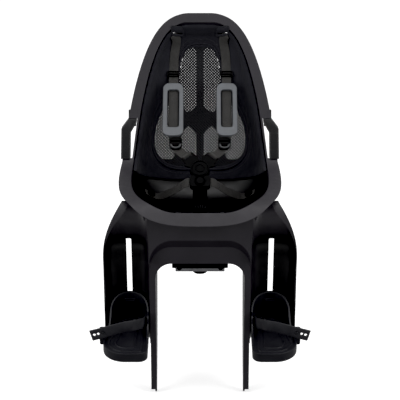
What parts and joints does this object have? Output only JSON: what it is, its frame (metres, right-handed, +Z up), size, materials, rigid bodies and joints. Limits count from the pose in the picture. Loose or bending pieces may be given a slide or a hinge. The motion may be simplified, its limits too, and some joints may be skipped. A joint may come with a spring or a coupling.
{
  "type": "child bike seat",
  "caption": "Rear child seat for a bicycle carrier: scooped shell with mesh back, harness, leg guards, height-adjustable footrests and a rail clamp.",
  "frame": {"origin": "on the axis of the clamp bolt, midway between the two carrier rails and level with their axes", "axes": "+X across the seat to the viewer's right, -Y to the front of the seat, +Z up"},
  "size_m": [0.4464, 0.4093, 0.76],
  "materials": {
    "shell": "fine matt grain",
    "liner": "woven cover over foam",
    "mesh": "open knit mesh",
    "webbing": "flat woven webbing",
    "pad": "soft matt",
    "strap": "matt",
    "fitting": "satin",
    "footrest": "fine matt grain",
    "steel": "zinc plated",
    "dark_steel": "black zinc"
  },
  "bodies": {
    "seat": {"seat_shell": "shell", "leg_guard": "shell", "back_liner": "liner", "back_mesh": "mesh", "handle_screws": "dark_steel", "shell_screws": "dark_steel", "plate_screws": "steel", "plate_nuts": "steel", "buckle_body": "fitting", "button_spring": "steel", "crotch_strap": "webbing", "crotch_pin": "steel", "mount_plate": "fitting", "clamp_bolt": "steel", "side_handle_left": "shell", "side_handle_right": "shell", "shoulder_strap_left": "webbing", "shoulder_strap_right": "webbing", "strap_pin_left": "dark_steel", "strap_pin_right": "dark_steel", "strap_slider_left": "fitting", "strap_slider_right": "fitting", "shoulder_pad_left": "pad", "shoulder_pad_right": "pad", "strap_adjuster_left": "fitting", "strap_adjuster_right": "fitting", "tongue_strap_left": "webbing", "tongue_strap_right": "webbing", "buckle_tongue_left": "fitting", "buckle_tongue_right": "fitting", "lap_strap_left": "webbing", "lap_strap_right": "webbing", "lap_stud_left": "fitting", "lap_stud_right": "fitting"},
    "buckle_button": {"buckle_button": "fitting"},
    "clamp_jaw": {"clamp_jaw": "steel"},
    "clamp_knob": {"clamp_knob": "fitting"},
    "footrest_left": {"footrest_left": "footrest", "footrest_slider_left": "fitting", "footrest_screw_left": "dark_steel", "foot_strap_left": "strap"},
    "footrest_right": {"footrest_right": "footrest", "footrest_slider_right": "fitting", "footrest_screw_right": "dark_steel", "foot_strap_right": "strap"}
  },
  "joints": [
    {"name": "footrest_left_height", "type": "slide", "parent": "seat", "child": "footrest_left", "axis": [0, -0.1736, 0.9848], "range_m": [0, 0.1]},
    {"name": "footrest_right_height", "type": "slide", "parent": "seat", "child": "footrest_right", "axis": [0, -0.1736, 0.9848], "range_m": [0, 0.1]},
    {"name": "button_press", "type": "slide", "parent": "seat", "child": "buckle_button", "axis": [0, 0.7242, -0.6896], "range_m": [0, 0.003], "stiffness_N_per_m": 900, "springref_m": -0.001},
    {"name": "jaw_open", "type": "slide", "parent": "seat", "child": "clamp_jaw", "axis": [0, 0, -1], "range_m": [0, 0.01]},
    {"name": "knob_turn", "type": "hinge", "parent": "clamp_jaw", "child": "clamp_knob", "pos_m": [0, 0, -0.0166], "axis": [0, 0, -1], "range_deg": [0, 1200]}
  ],
  "couplings": [
    {"joint": "knob_turn", "follows": "jaw_open", "rad_per_m": 2094.4}
  ]
}
